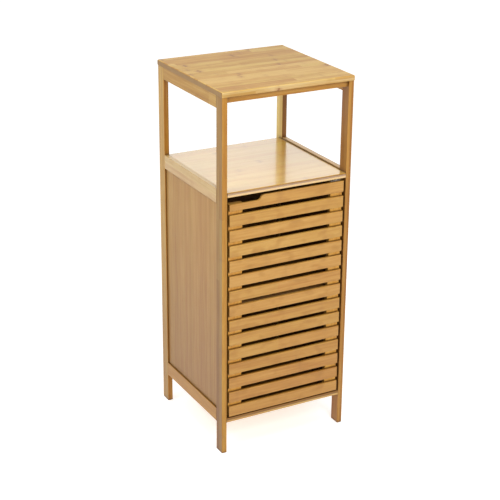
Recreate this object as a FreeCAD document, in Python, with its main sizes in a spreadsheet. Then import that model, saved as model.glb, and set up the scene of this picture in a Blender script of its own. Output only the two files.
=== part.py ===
"""Slatted-door bamboo floor cabinet with an open bay on top, modelled in millimetres.

X runs left to right, Y from the front to the back and Z up. The origin is on the floor, in the middle of
the footprint. Every piece is its own object with its own Label, and all sizes come from the sheet called
Sizes.
"""

import FreeCAD, Part

import os
import re

import Sketcher

SIZES = {
    # frame
    "frame_width": 340,
    "frame_depth": 334,
    "overall_height": 900,
    "leg_width": 13,
    "leg_depth": 30,
    "leg_round": 1.5,
    "foot_chamfer": 1.2,
    "top_thickness": 12,
    "top_overhang": 1.5,
    "top_round": 3,
    "rail_thickness": 12,
    "apron_height": 30,
    "rail_height": 34,
    "cross_rail_height": 15,
    "cross_rail_setback": 7,
    "rail_round": 1,
    # boards and panels
    "board_thickness": 12,
    "board_gap": 0.6,
    "board_round": 2.5,
    "shelf_top": 666,
    "shelf_rail_rise": 4,
    "floor_top": 93,
    "floor_rail_rise": 17,
    "back_setback": 16,
    "panel_thickness": 5,
    "panel_recess": 4,
    "panel_groove": 5,
    "panel_play": 0.2,
    "inner_shelf_top": 380,
    "inner_shelf_setback": 0.6,
    "batten_height": 12,
    "batten_width": 12,
    # door
    "door_side_gap": 6,
    "door_top_gap": 5.9,
    "door_bottom_gap": 2.6,
    "slat_count": 15,
    "slat_gap": 10,
    "slat_thickness": 6,
    "slat_round": 1.5,
    "stile_thickness": 12,
    "left_stile_width": 36,
    "right_stile_width": 32,
    "notch_flat": 72,
    "notch_ramp": 18,
    "notch_depth": 12,
    # pivot hinge
    "pivot_inset": 15,
    "pivot_diameter": 4,
    "pivot_reach": 10,
    "pivot_seat": 6,
    "plate_length": 26,
    "plate_width": 10,
    "plate_thickness": 2,
    "plate_end": 10,
    "washer_diameter": 9,
    "running_gap": 0.3,
    "running_play": 0.08,
    # magnetic catch
    "catch_length": 26,
    "catch_depth": 13,
    "catch_height": 12,
    "magnet_length": 18,
    "magnet_height": 6,
    "magnet_depth": 5,
    "strike_thickness": 1,
    "strike_height": 10,
    "stud_length": 6,
    # fasteners
    "fastener_play": 0.1,
    "dowel_diameter": 6,
    "dowel_spacing": 14,
    "dowel_seat": 12,
    "dowel_wall": 2,
    "cross_dowel_seat": 16,
    "cross_dowel_wall": 5,
    "screw_diameter": 3,
    "head_diameter": 6,
    "head_height": 1.8,
    "back_screw_length": 20,
    "thin_cover": 1.2,
    "thick_cover": 4.2,
    "pivot_wall": 3,
    "cam_diameter": 12,
    "cam_height": 9,
    "cam_inset": 22,
    "cam_end_inset": 55,
    "cam_bolt_diameter": 5,
    "cam_bolt_seat": 8,
}

# Sums of size names. Every one is read as an expression on the sheet.
ZERO = "0"

# frame
LEFT = "(-frame_width / 2)"
RIGHT = "(frame_width / 2)"
FRONT = "(-frame_depth / 2)"
BACK = "(frame_depth / 2)"
LEG_TOP = "(overall_height - top_thickness)"
RAIL_LENGTH = "(frame_depth - 2 * leg_depth)"
INNER_WIDTH = "(frame_width - 2 * leg_width)"
APRON_BOTTOM = f"({LEG_TOP} - apron_height)"
SHELF_RAIL_BOTTOM = "(shelf_top + shelf_rail_rise - rail_height)"
FLOOR_RAIL_TOP = "(floor_top + floor_rail_rise)"
FLOOR_RAIL_BOTTOM = f"({FLOOR_RAIL_TOP} - rail_height)"
CROSS_RAIL_BOTTOM = f"({LEG_TOP} - cross_rail_height)"
CROSS_RAIL_MIDDLE = "(cross_rail_setback + rail_thickness / 2)"
TOP_WIDTH = "(frame_width + 2 * top_overhang)"
TOP_DEPTH = "(frame_depth + 2 * top_overhang)"

# boards
SIDE_WIDTH = "max(leg_width; rail_thickness)"
BOARD_WIDTH = f"(frame_width - 2 * {SIDE_WIDTH} - 2 * board_gap)"
BOARD_DEPTH = "(frame_depth - back_setback)"
SHELF_BOTTOM = "(shelf_top - board_thickness)"
SHELF_MIDDLE = f"({SHELF_BOTTOM} + board_thickness / 2)"
FLOOR_BOTTOM = "(floor_top - board_thickness)"
FLOOR_MIDDLE = f"({FLOOR_BOTTOM} + board_thickness / 2)"

# panels
PANEL_IN_GROOVE = "(panel_groove - board_gap)"
GROOVE_WIDTH = "(panel_thickness + 2 * panel_play)"
GROOVE_NEAR = "(panel_recess - panel_play)"
GROOVE_FAR = "(panel_recess + panel_thickness + panel_play)"
PANEL_BOTTOM = f"({FLOOR_RAIL_TOP} - {PANEL_IN_GROOVE})"
PANEL_TOP = f"({SHELF_RAIL_BOTTOM} + {PANEL_IN_GROOVE})"
PANEL_LENGTH = f"({RAIL_LENGTH} + 2 * {PANEL_IN_GROOVE})"
PANEL_INNER = "(panel_recess + panel_thickness)"
BACK_PANEL_BOTTOM = FLOOR_BOTTOM
BACK_PANEL_TOP = "(shelf_top - board_thickness / 4)"
BACK_PANEL_FRONT = f"({FRONT} + {BOARD_DEPTH} + panel_play)"
BACK_PANEL_WIDTH = f"({INNER_WIDTH} + 2 * {PANEL_IN_GROOVE})"

# inner shelf
INNER_SHELF_BOTTOM = "(inner_shelf_top - board_thickness)"
INNER_SHELF_WIDTH = f"(frame_width - 2 * {PANEL_INNER} - 2 * board_gap)"
BATTEN_LENGTH = f"({RAIL_LENGTH} - 2 * board_gap)"
BATTEN_BOTTOM = f"({INNER_SHELF_BOTTOM} - batten_height)"
BATTEN_MIDDLE = f"({BATTEN_BOTTOM} + batten_height / 2)"

# door
DOOR_BOTTOM = "(floor_top + door_bottom_gap)"
DOOR_TOP = f"({SHELF_BOTTOM} - door_top_gap)"
DOOR_HEIGHT = f"({DOOR_TOP} - {DOOR_BOTTOM})"
DOOR_WIDTH = f"({INNER_WIDTH} - 2 * door_side_gap)"
DOOR_LEFT = f"(-{DOOR_WIDTH} / 2)"
DOOR_RIGHT = f"({DOOR_WIDTH} / 2)"
SLAT_HEIGHT = f"(({DOOR_HEIGHT} - (slat_count - 1) * slat_gap) / slat_count)"
STILE_FRONT = f"({FRONT} + slat_thickness)"
STILE_MIDDLE = "(stile_thickness / 2)"
DOOR_BACK = f"({STILE_FRONT} + stile_thickness)"
NOTCH_FLOOR = f"({DOOR_TOP} - notch_depth)"

# pivot hinge
PIVOT_ACROSS = f"({DOOR_RIGHT} - pivot_inset)"
PIVOT_BACK = f"({STILE_FRONT} + {STILE_MIDDLE})"
PIVOT_DEPTH = f"(slat_thickness + {STILE_MIDDLE})"
PIN_IN_BOARD = f"({PIVOT_ACROSS} + {BOARD_WIDTH} / 2)"
PIN_HOLE = "(pivot_diameter + 2 * fastener_play)"
RUNNING_HOLE = "(pivot_diameter + 2 * running_play)"
PLATE_LEFT = f"({PIVOT_ACROSS} + plate_end - plate_length)"
PLATE_SCREW_ACROSS = f"({PLATE_LEFT} + head_diameter)"
FRAME_PLATE_BOTTOM = f"({SHELF_BOTTOM} - plate_thickness)"
DOOR_PLATE_TOP = f"({DOOR_TOP} + plate_thickness)"

# magnetic catch
CATCH_LEFT = f"({DOOR_LEFT} + (left_stile_width - catch_length) / 2)"
CATCH_FRONT = f"({DOOR_BACK} + strike_thickness + running_gap)"
CATCH_TOP = "(floor_top + catch_height)"
CATCH_SCREW_BACK = f"({CATCH_FRONT} + (magnet_depth + catch_depth) / 2)"
MAGNET_LEFT = f"({CATCH_LEFT} + (catch_length - magnet_length) / 2)"
MAGNET_BOTTOM = "(floor_top + (catch_height - magnet_height) / 2)"
STRIKE_BOTTOM = f"({DOOR_BOTTOM} + running_gap)"

# dowels
DOWEL_HOLE = "(dowel_diameter + 2 * fastener_play)"
DOWEL_IN_LEG = f"(leg_depth - {CROSS_RAIL_MIDDLE} - dowel_diameter / 2 - dowel_wall)"
CROSS_DOWEL_IN_LEG = "(leg_width - cross_dowel_wall)"
CROSS_DOWEL_HEIGHT = f"({LEG_TOP} - cross_rail_height / 2)"

# cam locks
CAM_MIDDLE = "(cam_inset - board_gap)"
CAM_SPOTS = ["(leg_depth + cam_end_inset)", "(frame_depth - leg_depth - cam_end_inset)"]
CAM_BOLT_HOLE = "(cam_bolt_diameter + 2 * fastener_play)"

# screws: each length runs from the head's outer face to the tip
SCREW_HOLE = "(screw_diameter + 2 * fastener_play)"
HEAD_HOLE = "(head_diameter + 2 * fastener_play)"
HEAD_SEAT = "(head_height + fastener_play)"
SLAT_SCREW = "(stile_thickness + slat_thickness - thin_cover)"
BATTEN_SCREW = "(batten_width + panel_thickness - thin_cover)"
TOP_SCREW = "(cross_rail_height + top_thickness - thick_cover)"
PLATE_SCREW = "(plate_thickness + board_thickness - thick_cover)"
CATCH_SCREW = "(catch_height + board_thickness - thick_cover)"
BOARD_BITE = "(board_thickness - thick_cover + fastener_play)"
LEFT_SCREW_LINE = f"({DOOR_LEFT} + left_stile_width / 2)"
RIGHT_SCREW_LINE = f"({PIVOT_ACROSS} - pivot_diameter / 2 - pivot_wall - head_diameter / 2)"
TOP_SCREW_SPOTS = ["(-frame_width / 4)", "(frame_width / 4)"]
BACK_SCREW_SPOTS = ["(-frame_width / 3)", ZERO, "(frame_width / 3)"]
BACK_SCREW_RISE = {"shelf_board": "(board_thickness / 3)", "floor_board": "(board_thickness / 2)"}
BACK_SCREW_LEVELS = [
    f"({SHELF_BOTTOM} + {BACK_SCREW_RISE['shelf_board']})",
    f"({FLOOR_BOTTOM} + {BACK_SCREW_RISE['floor_board']})",
]
BATTEN_SCREW_SPOTS = [f"({RAIL_LENGTH} / 5)", f"({RAIL_LENGTH} * 4 / 5)"]
CATCH_SCREW_SPOTS = [f"({CATCH_LEFT} + catch_length / 4)", f"({CATCH_LEFT} + catch_length * 3 / 4)"]

# Lower edge and height of the side rails
SIDE_RAIL_ROWS = {
    "top": (APRON_BOTTOM, "apron_height"),
    "shelf": (SHELF_RAIL_BOTTOM, "rail_height"),
    "floor": (FLOOR_RAIL_BOTTOM, "rail_height"),
}

X_AXIS, Y_AXIS, Z_AXIS = 0, 1, 2
NEAR = 1e-4
UP = FreeCAD.Vector(0, 0, 1)
DOWN = FreeCAD.Vector(0, 0, -1)
FORWARD = FreeCAD.Vector(0, -1, 0)
BACKWARD = FreeCAD.Vector(0, 1, 0)
OUT_LEFT = FreeCAD.Vector(-1, 0, 0)
OUT_RIGHT = FreeCAD.Vector(1, 0, 0)

# Sketch planes: the Role of the origin plane, the sign that turns a distance into an attachment offset, and
# whether a pocket has to be reversed to cut towards the rising axis.
PLANES = {
    "X": ("YZ_Plane", "", True),
    "Y": ("XZ_Plane", "-", False),
    "Z": ("XY_Plane", "", True),
}

doc = FreeCAD.newDocument("SlattedCabinet")
sub_parts = []


def bound(text):
    """A sum of size names as a FreeCAD expression on the sheet. Names of functions stay as they are."""
    return re.sub(r"[a-z_]+\b(?!\()", lambda match: "Sizes." + match.group(0), text)


def make_sheet():
    sheet = doc.addObject("Spreadsheet::Sheet", "Sizes")
    for row, (name, size) in enumerate(SIZES.items(), start=1):
        sheet.set(f"A{row}", name)
        sheet.set(f"B{row}", str(size))
        sheet.setAlias(f"B{row}", name)
    doc.recompute()


def place(thing, across, back, up):
    """Binds where the piece's own origin stands in the cabinet."""
    thing.setExpression("Placement.Base.x", bound(across))
    thing.setExpression("Placement.Base.y", bound(back))
    thing.setExpression("Placement.Base.z", bound(up))


def keep(thing, name):
    """Names a finished sub-part."""
    thing.Label = name
    sub_parts.append(thing)
    return thing


# ---------------------------------------------------------------- PartDesign helpers


def new_sketch(body, axis, distance):
    """A sketch square to an axis of the body, at a distance along that axis."""
    role, sign, _ = PLANES[axis]
    plane = next(feature for feature in body.Origin.OriginFeatures if feature.Role == role)
    sketch = body.newObject("Sketcher::SketchObject", body.Name + "_sketch")
    sketch.AttachmentSupport = [(plane, "")]
    sketch.MapMode = "FlatFace"
    sketch.setExpression("AttachmentOffset.Base.z", bound(f"{sign}({distance})"))
    return sketch


def measure(sketch, kind, geometry, text, drawn=1.0):
    """Adds one sized constraint, with the size as drawn, and binds it to the sheet."""
    index = sketch.addConstraint(Sketcher.Constraint(kind, *geometry, float(drawn)))
    sketch.setExpression(f"Constraints[{index}]", bound(text))


def draw_rectangle(sketch, left, bottom, width, height):
    """Draws a small square and lets its four sizes stretch it."""
    corners = [FreeCAD.Vector(*corner) for corner in ((1, 1, 0), (9, 1, 0), (9, 9, 0), (1, 9, 0))]
    first = sketch.GeometryCount
    for start in range(4):
        sketch.addGeometry(Part.LineSegment(corners[start], corners[(start + 1) % 4]), False)
    for side in range(4):
        sketch.addConstraint(Sketcher.Constraint("Coincident", first + side, 2, first + (side + 1) % 4, 1))
        direction = "Horizontal" if side % 2 == 0 else "Vertical"
        sketch.addConstraint(Sketcher.Constraint(direction, first + side))
    measure(sketch, "DistanceX", (first, 1, first, 2), width)
    measure(sketch, "DistanceY", (first + 1, 1, first + 1, 2), height)
    measure(sketch, "DistanceX", (-1, 1, first, 1), left)
    measure(sketch, "DistanceY", (-1, 1, first, 1), bottom)


def draw_circles(sketch, centres, diameter):
    for across, along in centres:
        circle = sketch.addGeometry(Part.Circle(FreeCAD.Vector(1, 1, 0), UP, 1), False)
        measure(sketch, "Diameter", (circle,), diameter)
        measure(sketch, "DistanceX", (-1, 1, circle, 3), across)
        measure(sketch, "DistanceY", (-1, 1, circle, 3), along)


def new_board(width, depth, height):
    """A plain block with its lowest front left corner at its own origin."""
    body = doc.addObject("PartDesign::Body", "Body")
    sketch = new_sketch(body, "Z", ZERO)
    draw_rectangle(sketch, ZERO, ZERO, width, depth)
    pad = body.newObject("PartDesign::Pad", "Pad")
    pad.Profile = sketch
    pad.setExpression("Length", bound(height))
    doc.recompute()
    return body


def cut(body, sketch, axis, rising, depth):
    """Pockets a sketch towards the rising or the falling axis, and makes sure that it removed something."""
    before = body.Shape.Volume
    pocket = body.newObject("PartDesign::Pocket", "Pocket")
    pocket.Profile = sketch
    pocket.Reversed = PLANES[axis][2] == rising
    pocket.setExpression("Length", bound(depth))
    doc.recompute()
    if body.Shape.Volume >= before:
        raise RuntimeError(f"{body.Name}: a pocket along {axis} removed nothing")


def groove(body, axis, distance, rising, left, bottom, width, height, depth):
    sketch = new_sketch(body, axis, distance)
    draw_rectangle(sketch, left, bottom, width, height)
    cut(body, sketch, axis, rising, depth)


def drill(body, axis, distance, rising, centres, diameter, depth):
    sketch = new_sketch(body, axis, distance)
    draw_circles(sketch, centres, diameter)
    cut(body, sketch, axis, rising, depth)


def edge_names(body, wanted):
    """Names of the edges whose box, given as shares of the body's box, passes the test."""
    box = body.Shape.BoundBox
    low = (box.XMin, box.YMin, box.ZMin)
    size = (box.XLength, box.YLength, box.ZLength)
    names = []
    for number, edge in enumerate(body.Shape.Edges, start=1):
        found = edge.BoundBox
        ends = ((found.XMin, found.YMin, found.ZMin), (found.XMax, found.YMax, found.ZMax))
        shares = [[(end[axis] - low[axis]) / size[axis] for axis in (X_AXIS, Y_AXIS, Z_AXIS)] for end in ends]
        if wanted(*shares):
            names.append(f"Edge{number}")
    return names


def lies_along(axis, fixed):
    """A test for edges that run the body's whole length along an axis, at given ends of the other axes."""

    def wanted(lowest, highest):
        if lowest[axis] > NEAR or highest[axis] < 1 - NEAR:
            return False
        return all(abs(share[other] - end) < NEAR for share in (lowest, highest) for other, end in fixed)

    return wanted


def at_bottom(lowest, highest):
    return highest[Z_AXIS] < NEAR


def at_top(lowest, highest):
    return lowest[Z_AXIS] > 1 - NEAR


def dress(body, kind, tests, size):
    """Rounds or chamfers the edges that pass any of the tests."""
    names = [name for test in tests for name in edge_names(body, test)]
    if len(names) < len(tests):
        raise RuntimeError(f"{body.Name}: an edge to dress is missing")
    base = body.Tip
    feature = body.newObject("PartDesign::" + kind, kind)
    feature.Base = (base, names)
    feature.setExpression("Radius" if kind == "Fillet" else "Size", bound(size))
    doc.recompute()


UPRIGHT_CORNERS = [lies_along(Z_AXIS, ((X_AXIS, x), (Y_AXIS, y))) for x in (0, 1) for y in (0, 1)]
SIDE_RAIL_CORNERS = [lies_along(Y_AXIS, ((X_AXIS, x), (Z_AXIS, z))) for x in (0, 1) for z in (0, 1)]
CROSS_CORNERS = [lies_along(X_AXIS, ((Y_AXIS, y), (Z_AXIS, z))) for y in (0, 1) for z in (0, 1)]
FRONT_CORNERS = [lies_along(X_AXIS, ((Y_AXIS, 0), (Z_AXIS, z))) for z in (0, 1)]


def rail_dowel_heights(bottom, height):
    middle = f"({bottom} + {height} / 2)"
    return [f"({middle} - dowel_spacing / 2)", f"({middle} + dowel_spacing / 2)"]


# ---------------------------------------------------------------- frame


def make_leg(name, on_left, at_front):
    """One leg with the sockets of its rails and the grooves of its panels."""
    leg = new_board("leg_width", "leg_depth", LEG_TOP)
    joint_face = "leg_depth" if at_front else ZERO
    inner_face = "leg_width" if on_left else ZERO
    dowel_line = "rail_thickness / 2" if on_left else "leg_width - rail_thickness / 2"
    heights = [height for row in SIDE_RAIL_ROWS.values() for height in rail_dowel_heights(*row)]
    sockets = [(dowel_line, height) for height in heights]
    drill(leg, "Y", joint_face, not at_front, sockets, DOWEL_HOLE, f"{DOWEL_IN_LEG} + fastener_play")
    groove_left = GROOVE_NEAR if on_left else f"leg_width - {GROOVE_FAR}"
    groove_height = f"{PANEL_TOP} - {PANEL_BOTTOM} + 2 * board_gap"
    groove(leg, "Y", joint_face, not at_front, groove_left, f"{PANEL_BOTTOM} - board_gap", GROOVE_WIDTH,
           groove_height, "panel_groove")
    socket = [(CROSS_RAIL_MIDDLE if at_front else f"leg_depth - {CROSS_RAIL_MIDDLE}", CROSS_DOWEL_HEIGHT)]
    drill(leg, "X", inner_face, not on_left, socket, DOWEL_HOLE, f"{CROSS_DOWEL_IN_LEG} + fastener_play")
    if not at_front:
        slot_height = f"{BACK_PANEL_TOP} - {BACK_PANEL_BOTTOM} + 2 * board_gap"
        groove(leg, "X", inner_face, not on_left, "leg_depth - back_setback",
               f"{BACK_PANEL_BOTTOM} - board_gap", GROOVE_WIDTH, slot_height, "panel_groove")
    dress(leg, "Fillet", UPRIGHT_CORNERS, "leg_round")
    dress(leg, "Chamfer", [at_bottom], "foot_chamfer")
    across = LEFT if on_left else f"{RIGHT} - leg_width"
    place(leg, across, FRONT if at_front else f"{BACK} - leg_depth", ZERO)
    return keep(leg, name)


def make_side_rail(name, on_left, row):
    """A rail between a front and a back leg, flush with their outer faces."""
    bottom, height = SIDE_RAIL_ROWS[row]
    rail = new_board("rail_thickness", RAIL_LENGTH, height)
    sockets = [("rail_thickness / 2", f"{level} - {bottom}") for level in rail_dowel_heights(bottom, height)]
    drill(rail, "Y", ZERO, True, sockets, DOWEL_HOLE, "dowel_seat + fastener_play")
    drill(rail, "Y", RAIL_LENGTH, False, sockets, DOWEL_HOLE, "dowel_seat + fastener_play")
    if row != "top":
        level = SHELF_MIDDLE if row == "shelf" else FLOOR_MIDDLE
        bolts = [(f"{spot} - leg_depth", f"{level} - {bottom}") for spot in CAM_SPOTS]
        inner_face = "rail_thickness" if on_left else ZERO
        drill(rail, "X", inner_face, not on_left, bolts, CAM_BOLT_HOLE, "cam_bolt_seat + fastener_play")
        panel_left = GROOVE_NEAR if on_left else f"rail_thickness - {GROOVE_FAR}"
        panel_edge = ZERO if row == "shelf" else height
        groove(rail, "Z", panel_edge, row == "shelf", panel_left, ZERO, GROOVE_WIDTH, RAIL_LENGTH,
               "panel_groove")
    dress(rail, "Fillet", SIDE_RAIL_CORNERS, "rail_round")
    place(rail, LEFT if on_left else f"{RIGHT} - rail_thickness", f"{FRONT} + leg_depth", bottom)
    return keep(rail, name)


def make_cross_rail(name, at_front):
    """A low rail under the top board, between the two front or the two back legs."""
    rail = new_board(INNER_WIDTH, "rail_thickness", "cross_rail_height")
    socket = [("rail_thickness / 2", "cross_rail_height / 2")]
    drill(rail, "X", ZERO, True, socket, DOWEL_HOLE, "cross_dowel_seat + fastener_play")
    drill(rail, "X", INNER_WIDTH, False, socket, DOWEL_HOLE, "cross_dowel_seat + fastener_play")
    screws = [(f"{spot} + {INNER_WIDTH} / 2", "rail_thickness / 2") for spot in TOP_SCREW_SPOTS]
    drill(rail, "Z", ZERO, True, screws, SCREW_HOLE, "cross_rail_height")
    drill(rail, "Z", ZERO, True, screws, HEAD_HOLE, HEAD_SEAT)
    dress(rail, "Fillet", CROSS_CORNERS, "rail_round")
    back = f"{FRONT} + cross_rail_setback" if at_front else f"{BACK} - cross_rail_setback - rail_thickness"
    place(rail, f"{LEFT} + leg_width", back, CROSS_RAIL_BOTTOM)
    return keep(rail, name)


def make_top_board():
    board = new_board(TOP_WIDTH, TOP_DEPTH, "top_thickness")
    near = f"top_overhang + {CROSS_RAIL_MIDDLE}"
    screws = [(f"{spot} + {TOP_WIDTH} / 2", row) for spot in TOP_SCREW_SPOTS
              for row in (near, f"{TOP_DEPTH} - ({near})")]
    drill(board, "Z", ZERO, True, screws, SCREW_HOLE, "top_thickness - thick_cover + fastener_play")
    dress(board, "Fillet", UPRIGHT_CORNERS, "top_round")
    dress(board, "Fillet", [at_top], "top_round")
    place(board, f"{LEFT} - top_overhang", f"{FRONT} - top_overhang", LEG_TOP)
    return keep(board, "top_board")


# ---------------------------------------------------------------- boards, panels and battens


def make_fixed_board(name, bottom, hinge_seats):
    """A board between the side frames, held by cam locks let into its underside."""
    board = new_board(BOARD_WIDTH, BOARD_DEPTH, "board_thickness")
    locks = [(across, spot) for spot in CAM_SPOTS for across in (CAM_MIDDLE, f"{BOARD_WIDTH} - {CAM_MIDDLE}")]
    drill(board, "Z", ZERO, True, locks, "cam_diameter + 2 * fastener_play", "cam_height + fastener_play")
    bolts = [(spot, "board_thickness / 2") for spot in CAM_SPOTS]
    drill(board, "X", ZERO, True, bolts, CAM_BOLT_HOLE, CAM_MIDDLE)
    drill(board, "X", BOARD_WIDTH, False, bolts, CAM_BOLT_HOLE, CAM_MIDDLE)
    back_screws = [(f"{spot} + {BOARD_WIDTH} / 2", BACK_SCREW_RISE[name]) for spot in BACK_SCREW_SPOTS]
    bite = "back_screw_length - panel_thickness"
    drill(board, "Y", BOARD_DEPTH, False, back_screws, SCREW_HOLE, bite)
    hinge_seats(board)
    dress(board, "Fillet", FRONT_CORNERS, "board_round")
    place(board, f"-{BOARD_WIDTH} / 2", FRONT, bottom)
    return keep(board, name)


def shelf_hinge_seats(board):
    """Holes of the upper pivot pin and of the frame plate's screw, in the shelf's underside."""
    drill(board, "Z", ZERO, True, [(PIN_IN_BOARD, PIVOT_DEPTH)], PIN_HOLE, "pivot_seat + fastener_play")
    screw = [(f"{PLATE_SCREW_ACROSS} + {BOARD_WIDTH} / 2", PIVOT_DEPTH)]
    drill(board, "Z", ZERO, True, screw, SCREW_HOLE, BOARD_BITE)


def floor_hinge_seats(board):
    """Holes of the lower pivot pin and of the catch's two screws, in the floor board's upper face."""
    face = "board_thickness"
    drill(board, "Z", face, False, [(PIN_IN_BOARD, PIVOT_DEPTH)], PIN_HOLE, "pivot_seat + fastener_play")
    screws = [(f"{spot} + {BOARD_WIDTH} / 2", f"{CATCH_SCREW_BACK} - {FRONT}") for spot in CATCH_SCREW_SPOTS]
    drill(board, "Z", face, False, screws, SCREW_HOLE, BOARD_BITE)


def make_side_panel(name, on_left):
    panel = new_board("panel_thickness", PANEL_LENGTH, f"{PANEL_TOP} - {PANEL_BOTTOM}")
    inner_face = "panel_thickness" if on_left else ZERO
    level = f"{BATTEN_MIDDLE} - {PANEL_BOTTOM}"
    screws = [(f"{spot} + {PANEL_IN_GROOVE}", level) for spot in BATTEN_SCREW_SPOTS]
    bite = "panel_thickness - thin_cover + fastener_play"
    drill(panel, "X", inner_face, not on_left, screws, SCREW_HOLE, bite)
    across = f"{LEFT} + panel_recess" if on_left else f"{RIGHT} - {PANEL_INNER}"
    place(panel, across, f"{FRONT} + leg_depth - {PANEL_IN_GROOVE}", PANEL_BOTTOM)
    return keep(panel, name)


def make_back_panel():
    panel = new_board(BACK_PANEL_WIDTH, "panel_thickness", f"{BACK_PANEL_TOP} - {BACK_PANEL_BOTTOM}")
    screws = [(f"{spot} + {BACK_PANEL_WIDTH} / 2", f"{level} - {BACK_PANEL_BOTTOM}")
              for level in BACK_SCREW_LEVELS for spot in BACK_SCREW_SPOTS]
    drill(panel, "Y", "panel_thickness", False, screws, SCREW_HOLE, "panel_thickness")
    drill(panel, "Y", "panel_thickness", False, screws, HEAD_HOLE, HEAD_SEAT)
    place(panel, f"-{BACK_PANEL_WIDTH} / 2", BACK_PANEL_FRONT, BACK_PANEL_BOTTOM)
    return keep(panel, "back_panel")


def make_batten(name, on_left):
    """A batten on the inner face of a side panel, which carries one end of the inner shelf."""
    batten = new_board("batten_width", BATTEN_LENGTH, "batten_height")
    face = "batten_width" if on_left else ZERO
    screws = [(f"{spot} - board_gap", "batten_height / 2") for spot in BATTEN_SCREW_SPOTS]
    drill(batten, "X", face, not on_left, screws, SCREW_HOLE, "batten_width")
    drill(batten, "X", face, not on_left, screws, HEAD_HOLE, HEAD_SEAT)
    across = f"{LEFT} + {PANEL_INNER}" if on_left else f"{RIGHT} - {PANEL_INNER} - batten_width"
    place(batten, across, f"{FRONT} + leg_depth + board_gap", BATTEN_BOTTOM)
    return keep(batten, name)


def make_inner_shelf():
    """A loose shelf on the two battens, behind the front legs and clear of the back ones."""
    depth = f"{RAIL_LENGTH} - inner_shelf_setback - board_gap"
    board = new_board(INNER_SHELF_WIDTH, depth, "board_thickness")
    dress(board, "Fillet", FRONT_CORNERS, "board_round")
    front = f"{FRONT} + leg_depth + inner_shelf_setback"
    place(board, f"-{INNER_SHELF_WIDTH} / 2", front, INNER_SHELF_BOTTOM)
    return keep(board, "inner_shelf")


# ---------------------------------------------------------------- door


SLAT_NUMBERS = range(1, SIZES["slat_count"] + 1)


def slat_bottom(number):
    """Height of a slat's lower edge. Slat 1 is the top one."""
    return f"({DOOR_TOP} - {number} * {SLAT_HEIGHT} - {number - 1} * slat_gap)"


def slat_middle(number):
    return f"({slat_bottom(number)} + {SLAT_HEIGHT} / 2)"


def slat_screw_height(number):
    """The top slat's screws sit lower, under the finger notch."""
    return f"({slat_middle(number)} - notch_depth / 2)" if number == 1 else slat_middle(number)


def make_slat(number):
    slat = new_board(DOOR_WIDTH, "slat_thickness", SLAT_HEIGHT)
    level = f"{slat_screw_height(number)} - {slat_bottom(number)}"
    screws = [(f"{line} - {DOOR_LEFT}", level) for line in (LEFT_SCREW_LINE, RIGHT_SCREW_LINE)]
    bite = "slat_thickness - thin_cover + fastener_play"
    drill(slat, "Y", "slat_thickness", False, screws, SCREW_HOLE, bite)
    dress(slat, "Fillet", FRONT_CORNERS, "slat_round")
    if number == 1:
        cut_notch(slat)
    place(slat, DOOR_LEFT, FRONT, slat_bottom(number))
    return keep(slat, f"door_slat_{number:02d}")


def cut_notch(slat):
    """The finger pull: a flat dip from the slat's left end that rises to its top edge in two equal arcs."""
    flat, ramp, depth = (SIZES[name] for name in ("notch_flat", "notch_ramp", "notch_depth"))
    radius = (ramp**2 + depth**2) / (4 * depth)
    slope = FreeCAD.Vector(ramp / 2, depth / 2, 0)
    top = slat.Shape.BoundBox.ZMax
    start = FreeCAD.Vector(flat, top - depth, 0)
    middle = start + slope
    end = middle + slope
    sketch = new_sketch(slat, "Y", ZERO)
    outer_low = FreeCAD.Vector(-ramp, top - depth, 0)
    outer_high = FreeCAD.Vector(-ramp, top + depth, 0)
    inner_high = FreeCAD.Vector(end.x, top + depth, 0)
    lower = Part.Circle(start + FreeCAD.Vector(0, radius, 0), UP, radius)
    upper = Part.Circle(end - FreeCAD.Vector(0, radius, 0), UP, radius)
    sketch.addGeometry(Part.LineSegment(outer_high, outer_low), False)
    sketch.addGeometry(Part.LineSegment(outer_low, start), False)
    sketch.addGeometry(Part.ArcOfCircle(lower, lower.parameter(start), lower.parameter(middle)), False)
    sketch.addGeometry(Part.ArcOfCircle(upper, upper.parameter(end), upper.parameter(middle)), False)
    sketch.addGeometry(Part.LineSegment(end, inner_high), False)
    sketch.addGeometry(Part.LineSegment(inner_high, outer_high), False)
    for joint in ((0, 2, 1, 1), (1, 2, 2, 1), (2, 2, 3, 2), (3, 1, 4, 1), (4, 2, 5, 1), (5, 2, 0, 1)):
        sketch.addConstraint(Sketcher.Constraint("Coincident", *joint))
    for line in (0, 4):
        sketch.addConstraint(Sketcher.Constraint("Vertical", line))
    for line in (1, 5):
        sketch.addConstraint(Sketcher.Constraint("Horizontal", line))
    sketch.addConstraint(Sketcher.Constraint("Vertical", 2, 3, 1, 2))
    sketch.addConstraint(Sketcher.Constraint("Vertical", 3, 3, 4, 1))
    sketch.addConstraint(Sketcher.Constraint("Equal", 2, 3))
    measure(sketch, "DistanceX", (0, 1, -1, 1), "notch_ramp", ramp)
    measure(sketch, "DistanceX", (-1, 1, 1, 2), "notch_flat", flat)
    measure(sketch, "DistanceX", (1, 2, 4, 1), "notch_ramp", ramp)
    measure(sketch, "DistanceY", (1, 2, 4, 1), "notch_depth", depth)
    measure(sketch, "DistanceX", (1, 2, 2, 2), "notch_ramp / 2", ramp / 2)
    measure(sketch, "DistanceY", (-1, 1, 4, 1), SLAT_HEIGHT, top)
    measure(sketch, "DistanceY", (4, 1, 4, 2), "notch_depth", depth)
    cut(slat, sketch, "Y", True, "slat_thickness")


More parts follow.
